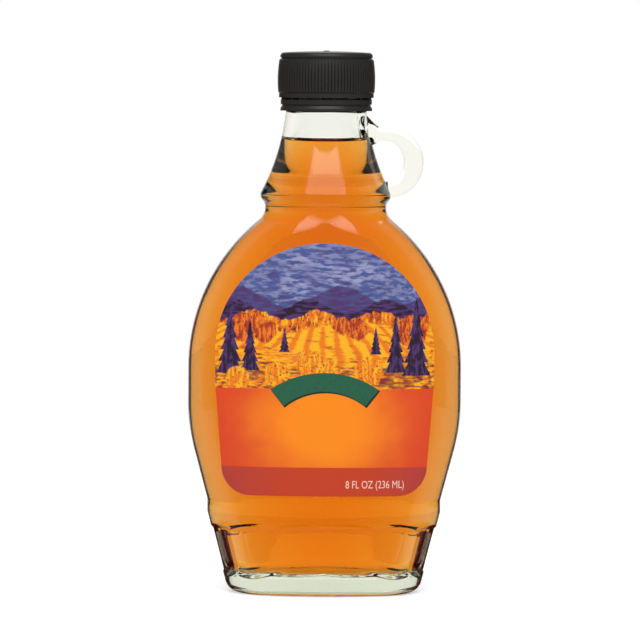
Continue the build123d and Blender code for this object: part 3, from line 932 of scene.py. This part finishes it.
class FLASK_OT_syrup(bpy.types.Operator):
    """Fills the flask with syrup, which reaches just into the glass and climbs it a little at the top"""

    bl_idname = "flask.syrup"
    bl_label = "Syrup"

    def execute(self, context):
        scene = context.scene
        form = Form(scene.flask_sizes)
        look = scene.syrup_look
        level = SYRUP_LEVEL
        grow = look.overlap
        neck = [row for row in form.bore_stations() if row[0] < GLASS_TOP - 5 * MM]
        contact_z = level + look.meniscus
        rim_z = contact_z - 0.1 * MM
        wall = [(z, x + grow, y + grow) for z, x, y in neck if z < rim_z]
        above = [row for row in neck if row[0] >= rim_z][-1]
        below = [row for row in neck if row[0] < rim_z][0]
        share = (contact_z - below[0]) / (above[0] - below[0])
        contact_x = below[1] + (above[1] - below[1]) * share + grow
        surface = []
        for step in range(13):
            away = (step / 12) ** 1.6
            x = contact_x - look.meniscus_reach * away
            surface.append((level + look.meniscus * (1 - away) ** 3, x, x))
        flat_x = contact_x - look.meniscus_reach
        flat = [(level, flat_x - d * MM, flat_x - d * MM) for d in (2, 4, 6)]
        rows = flat[::-1] + surface[::-1]
        rows += wall + form.cavity_stations(grow=grow)
        rows = [(z - (grow if z < form.s.floor + 0.01 * MM else 0), x, y) for z, x, y in rows]
        piece = stack_net("syrup_fill", form, rows)
        finish_mesh(piece)
        dress(piece, amber_syrup(look))
        settle(piece, "syrup")
        return {"FINISHED"}


class FLASK_OT_cap(bpy.types.Operator):
    """Gives the ribbed screw cap its black moulded plastic"""

    bl_idname = "flask.cap"
    bl_label = "Screw cap"

    def execute(self, context):
        dress(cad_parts["cap"], moulded_polypropylene())
        return {"FINISHED"}


def label_half_width(sizes, z):
    """Half the label's width at a height."""
    if z > sizes.centre_z:
        return math.sqrt(max(sizes.radius**2 - (z - sizes.centre_z) ** 2, 0))
    waist = sizes.centre_z - sizes.side
    if z > waist:
        return sizes.radius
    lean = (sizes.radius - sizes.foot_half_width) / (waist - sizes.foot_z)
    straight = sizes.radius - (waist - z) * lean
    up = z - sizes.foot_z
    if up >= sizes.corner:
        return straight
    at_corner = sizes.radius - (waist - sizes.foot_z - sizes.corner) * lean
    return at_corner - sizes.corner + math.sqrt(max(sizes.corner**2 - (sizes.corner - up) ** 2, 0))


class FLASK_OT_label(bpy.types.Operator):
    """Lays the paper label on the body's front"""

    bl_idname = "flask.label"
    bl_label = "Paper label"

    def execute(self, context):
        scene = context.scene
        form = Form(scene.flask_sizes)
        sizes = scene.label_sizes
        colours = scene.print_colours
        columns = 96
        corner_rows, dome_rows = 14, 40
        quarter = math.pi / 2
        heights = [
            sizes.foot_z + sizes.corner * (1 - math.cos(quarter * i / corner_rows))
            for i in range(corner_rows + 1)
        ]
        heights += spread(sizes.foot_z + sizes.corner, sizes.centre_z, 1.2 * MM)[1:]
        heights += [
            sizes.centre_z + sizes.radius * math.sin(quarter * i / dome_rows)
            for i in range(1, dome_rows + 1)
        ]
        # The sheet's back lies just inside the glass, so that no gap shows at its edge.
        sink = 0.05 * MM

        def place(row, column):
            z = heights[row]
            x = label_half_width(sizes, z) * (2 * column / columns - 1)
            return Vector((x, form.front_y(x, z) + sink, z))

        sheet = net("label_sheet", len(heights) - 1, columns, place)
        finish_mesh(sheet)
        if sheet.data.polygons[len(sheet.data.polygons) // 2].normal.y > 0:
            sheet.data.flip_normals()
        modify(sheet, "SOLIDIFY", thickness=sizes.thickness + sink, offset=1.0)
        finish_mesh(sheet)
        inks = {key: tuple(getattr(colours, key)) for key in colours.__annotations__}
        dress(sheet, printed_paper(sizes, inks))
        settle(sheet, "label_front")
        return {"FINISHED"}


def lay_on_label(piece, form, lift):
    """Moves a flat piece, drawn in X and Z, back to the label's front and off it by a lift."""
    for vertex in piece.data.vertices:
        x, proud, z = vertex.co
        y = form.front_y(x, z)
        step = 0.2 * MM
        lean = (form.front_y(x + step, z) - form.front_y(x - step, z)) / (2 * step)
        nod = (form.front_y(x, z + step) - form.front_y(x, z - step)) / (2 * step)
        normal = Vector((lean, -1, nod)).normalized()
        vertex.co = Vector((x, y, z)) + normal * (lift - proud)


class FLASK_OT_banner(bpy.types.Operator):
    """Prints the plain arched banner, with its thin shadow"""

    bl_idname = "flask.banner"
    bl_label = "Banner"

    outer_radius: length("Outer radius", 29.4, "Radius of the banner's upper edge")
    outer_top: length("Outer top", 70.4, "Height of its upper edge in the middle")
    outer_half: length("Outer half", 16.8, "Half the length of its upper edge")
    inner_radius: length("Inner radius", 19.9, "Radius of the banner's lower edge")
    inner_top: length("Inner top", 64.6, "Height of its lower edge in the middle")
    inner_half: length("Inner half", 12.6, "Half the length of its lower edge")

    def execute(self, context):
        scene = context.scene
        form = Form(scene.flask_sizes)
        colours = scene.print_colours
        lift = scene.label_sizes.thickness
        columns, rows = 64, 6

        def strip(name, shift, grow, height, tone):
            """One ink of the banner, moved aside, let out and lifted."""

            def edge(share, half, radius, top):
                x = (2 * share - 1) * (half + grow)
                return x, top - radius + math.sqrt((radius + grow) ** 2 - x**2)

            def place(row, column):
                share = column / columns
                low = edge(share, self.inner_half, self.inner_radius - 2 * grow, self.inner_top - 2 * grow)
                high = edge(share, self.outer_half, self.outer_radius, self.outer_top)
                mix = row / rows
                x = low[0] + (high[0] - low[0]) * mix + shift[0]
                z = low[1] + (high[1] - low[1]) * mix + shift[1]
                return Vector((x, 0, z))

            piece = net(name, rows, columns, place)
            modify(piece, "SOLIDIFY", thickness=INK, offset=0.0)
            lay_on_label(piece, form, lift + height)
            finish_mesh(piece)
            dress(piece, flat_ink(name + "_ink", tone))
            settle(piece)

        strip("banner_shadow", (0.35 * MM, -0.4 * MM), 0.1 * MM, 0.004 * MM, tuple(colours.banner_edge))
        strip("banner", (0, 0), 0.0, 0.018 * MM, tuple(colours.banner))
        return {"FINISHED"}


class FLASK_OT_volume(bpy.types.Operator):
    """Prints the volume on the lower band"""

    bl_idname = "flask.volume"
    bl_label = "Volume"

    left: length("Left", 6.7, "Left end of the line")
    right: length("Right", 24.8, "Right end of the line")
    middle_z: length("Height", 35.25, "Height of the line's middle")
    text_height: length("Letter height", 3.15, "Height of the line with its brackets")

    def execute(self, context):
        scene = context.scene
        form = Form(scene.flask_sizes)
        deselect()
        bpy.ops.object.text_add()
        text = context.object
        text.name = "volume_figures"
        text.data.body = "8 FL OZ (236 ML)"
        text.data.resolution_u = 6
        text.data.extrude = 0.0
        bpy.ops.object.convert(target="MESH")
        text = context.object
        xs = [v.co.x for v in text.data.vertices]
        ys = [v.co.y for v in text.data.vertices]
        wide, high = max(xs) - min(xs), max(ys) - min(ys)
        for vertex in text.data.vertices:
            x = self.left + (vertex.co.x - min(xs)) / wide * (self.right - self.left)
            z = self.middle_z + ((vertex.co.y - min(ys)) / high - 0.5) * self.text_height
            vertex.co = (x, 0, z)
        modify(text, "SOLIDIFY", thickness=INK, offset=0.0)
        lay_on_label(text, form, scene.label_sizes.thickness + 0.008 * MM)
        dress(text, flat_ink("lettering_ink", tuple(scene.print_colours.lettering)))
        settle(text)
        return {"FINISHED"}


# ---- Studio -----------------------------------------------------------------------------------
class FLASK_OT_stage(bpy.types.Operator):
    """Sets up the floor, the world, the lamp and the camera"""

    bl_idname = "flask.stage"
    bl_label = "Studio"

    def execute(self, context):
        scene = context.scene
        look = scene.stage_look
        scene.view_settings.view_transform = "Standard"
        self.floor(look)
        self.world(scene)
        self.lamp(look)
        self.camera(scene, look)
        return {"FINISHED"}

    def floor(self, look):
        """Lays background paper that ends beyond the frame, so that the glass mirrors a dim room past it."""
        deselect()
        bpy.ops.mesh.primitive_circle_add(
            vertices=96, radius=look.floor_radius, fill_type="NGON", location=(0, 0, 0)
        )
        floor = bpy.context.object
        floor.name = "studio_floor"
        material, tree = new_material("white_background_paper")
        place = place_in_mm(tree)
        turn = turn_from_back(tree, place)
        camera, gloss, through = [
            add(tree, "LightPath", out=f"Is {kind} Ray") for kind in ("Camera", "Glossy", "Transmission")
        ]
        cloud = add(tree, "TexNoise", {"Vector": place, "Scale": 1 / 40.0, "Detail": 2.0})
        dull = tuple(c * 0.98 for c in look.floor)
        tone = add(tree, "Mix", {0: cloud, 6: look.floor, 7: dull}, **COLOURS)
        # Gloss sees the paper's own tone only straight behind the flask. Elsewhere its reflection is painted
        # near black, a painted dark reflection that stands in for black cards. A ray through clear glass
        # counts as both kinds, so it is taken out; through glass the paper is painted dark only in front.
        mirrored = add(tree, "Math", (gloss, through), operation="GREATER_THAN")
        beside = add(tree, "MapRange", (turn, 10.0, 40.0), **EASED)
        beside = add(tree, "Math", (mirrored, beside), operation="MULTIPLY")
        before = add(tree, "MapRange", (turn, 95.0, 120.0), **EASED)
        before = add(tree, "Math", (through, before), operation="MULTIPLY")
        painted_dark_reflection = add(tree, "Math", (beside, before), operation="MAXIMUM")
        # Where that mask is set, the paper's tone is painted near black: a painted dark reflection, not the
        # paper's colour.
        tone = add(tree, "Mix", {0: painted_dark_reflection, 6: tone, 7: linear("#1C1C1C")}, **COLOURS)
        paper = add(tree, "BsdfDiffuse", {"Color": tone})
        # Rays that see the paper find it a little brighter than the light that falls on it makes it.
        seen = add(tree, "Math", (camera, gloss), operation="MAXIMUM")
        seen = add(tree, "Math", (seen, through), operation="MAXIMUM")
        lift = add(tree, "Math", (painted_dark_reflection, -FLOOR_LIFT, FLOOR_LIFT), operation="MULTIPLY_ADD")
        lift = add(tree, "Math", (seen, lift), operation="MULTIPLY")
        glow = add(tree, "Emission", {"Color": (1, 1, 1), "Strength": lift})
        add(tree, "OutputMaterial", {"Surface": add(tree, "AddShader", (paper, glow))})
        floor.data.materials.append(material)

    def world(self, scene):
        """Lights the room from behind. The lit paper is only so wide, and past its sides the room is dim,
        which draws the edges of the glass. Black flags stand beside the camera."""
        world = bpy.data.worlds.new("white_studio")
        scene.world = world
        world.use_nodes = True
        tree = world.node_tree
        tree.nodes.clear()
        way = add(tree, "TexCoord", out="Generated")
        turn = turn_from_back(tree, way)
        rise = add(tree, "SeparateXYZ", (way,), "Z")
        rise = add(tree, "Math", (rise,), operation="ABSOLUTE")
        flag = 1.0
        for field, low, high in ((turn, 96.0, 102.0), (turn, 140.0, 125.0), (rise, 0.85, 0.6)):
            side = add(tree, "MapRange", (field, low, high), **EASED)
            flag = add(tree, "Math", (flag, side), operation="MULTIPLY")
        glossy = add(tree, "MapRange", (turn, 10.0, 30.0, 1.0, MIRRORED_ROOM), **EASED)
        dusk = add(tree, "MapRange", (turn, 62.0, 84.0, 0.0, DUSK), **EASED)
        dark = add(tree, "Math", (dusk, flag), operation="MAXIMUM")
        through = add(tree, "Math", (BACK_LIGHT, dark), operation="SUBTRACT")
        level = ROOM_LIGHT
        for kind, brightness in (("Glossy", glossy), ("Transmission", through), ("Camera", 1.0)):
            ray = add(tree, "LightPath", out=f"Is {kind} Ray")
            level = add(tree, "Mix", {0: ray, 2: level, 3: brightness})
        ray = add(tree, "LightPath", out="Is Transmission Ray")
        tint = add(tree, "Mix", {0: ray, 6: (1.0, 1.0, 1.0), 7: linear("#FFFAF6")}, **COLOURS)
        add(tree, "OutputWorld", {"Surface": add(tree, "Background", {"Color": tint, "Strength": level})})

    def lamp(self, look):
        """Hangs one large softbox before and over the flask."""
        deselect()
        place = Vector((0.0, -0.95, 1.15))
        bpy.ops.object.light_add(type="AREA", location=place)
        softbox = bpy.context.object
        softbox.name = "overhead_softbox"
        softbox.data.shape = "RECTANGLE"
        softbox.data.size = 1.6
        softbox.data.size_y = 0.8
        softbox.data.energy = look.key_power
        aim = Vector((0, 0, 0.09)) - place
        softbox.rotation_euler = aim.to_track_quat("-Z", "Y").to_euler()

    def camera(self, scene, look):
        """Places the camera in front, level with the cap and looking a little down."""
        deselect()
        bpy.ops.object.camera_add()
        camera = bpy.context.object
        camera.name = "studio_camera"
        place = Vector((look.aim_x, -look.distance, look.height))
        aim = Vector((look.aim_x, 0, look.aim_z)) - place
        turn = aim.to_track_quat("-Z", "Y").to_matrix().to_4x4()
        camera.matrix_world = Matrix.Translation(place) @ turn @ Matrix.Rotation(look.roll, 4, "Z")
        camera.data.lens = look.lens
        camera.data.sensor_width = 36.0
        camera.data.clip_end = 100.0
        scene.camera = camera


def turn_from_back(tree, way):
    """The angle of a way or a place from straight behind the flask, either way round, in degrees."""
    side = add(tree, "SeparateXYZ", (way,), "X")
    side = add(tree, "Math", (side,), operation="ABSOLUTE")
    turn = add(tree, "Math", (side, add(tree, "SeparateXYZ", (way,), "Y")), operation="ARCTAN2")
    return add(tree, "Math", (turn, 180 / math.pi), operation="MULTIPLY")


class FLASK_PT_panel(bpy.types.Panel):
    """Lists the flask's pieces and their sizes"""

    bl_label = "Syrup flask"
    bl_idname = "FLASK_PT_panel"
    bl_space_type = "VIEW_3D"
    bl_region_type = "UI"
    bl_category = "Flask"

    def draw(self, context):
        layout = self.layout
        for operator in STEPS:
            layout.operator(operator.bl_idname)
        for name in GROUPS:
            box = layout.box()
            box.label(text=name.replace("_", " ").title())
            group = getattr(context.scene, name)
            for key in group.__annotations__:
                box.prop(group, key)


GROUPS = {
    "flask_sizes": FlaskSizes,
    "loop_sizes": LoopSizes,
    "syrup_look": SyrupLook,
    "label_sizes": LabelSizes,
    "print_colours": PrintColours,
    "stage_look": StageLook,
}
STEPS = (
    FLASK_OT_stage, FLASK_OT_glass, FLASK_OT_syrup, FLASK_OT_cap, FLASK_OT_label, FLASK_OT_banner,
    FLASK_OT_volume,
)


def register():
    for cls in (*GROUPS.values(), *STEPS, FLASK_PT_panel):
        bpy.utils.register_class(cls)
    for name, group in GROUPS.items():
        setattr(bpy.types.Scene, name, bpy.props.PointerProperty(type=group))


def unregister():
    for name in GROUPS:
        delattr(bpy.types.Scene, name)
    for cls in reversed((*GROUPS.values(), *STEPS, FLASK_PT_panel)):
        bpy.utils.unregister_class(cls)


def main():
    register()
    bpy.ops.flask.stage()
    bpy.ops.flask.glass()
    bpy.ops.flask.syrup()
    bpy.ops.flask.cap()
    bpy.ops.flask.label()
    bpy.ops.flask.banner()
    bpy.ops.flask.volume()


if __name__ == "__main__":
    main()
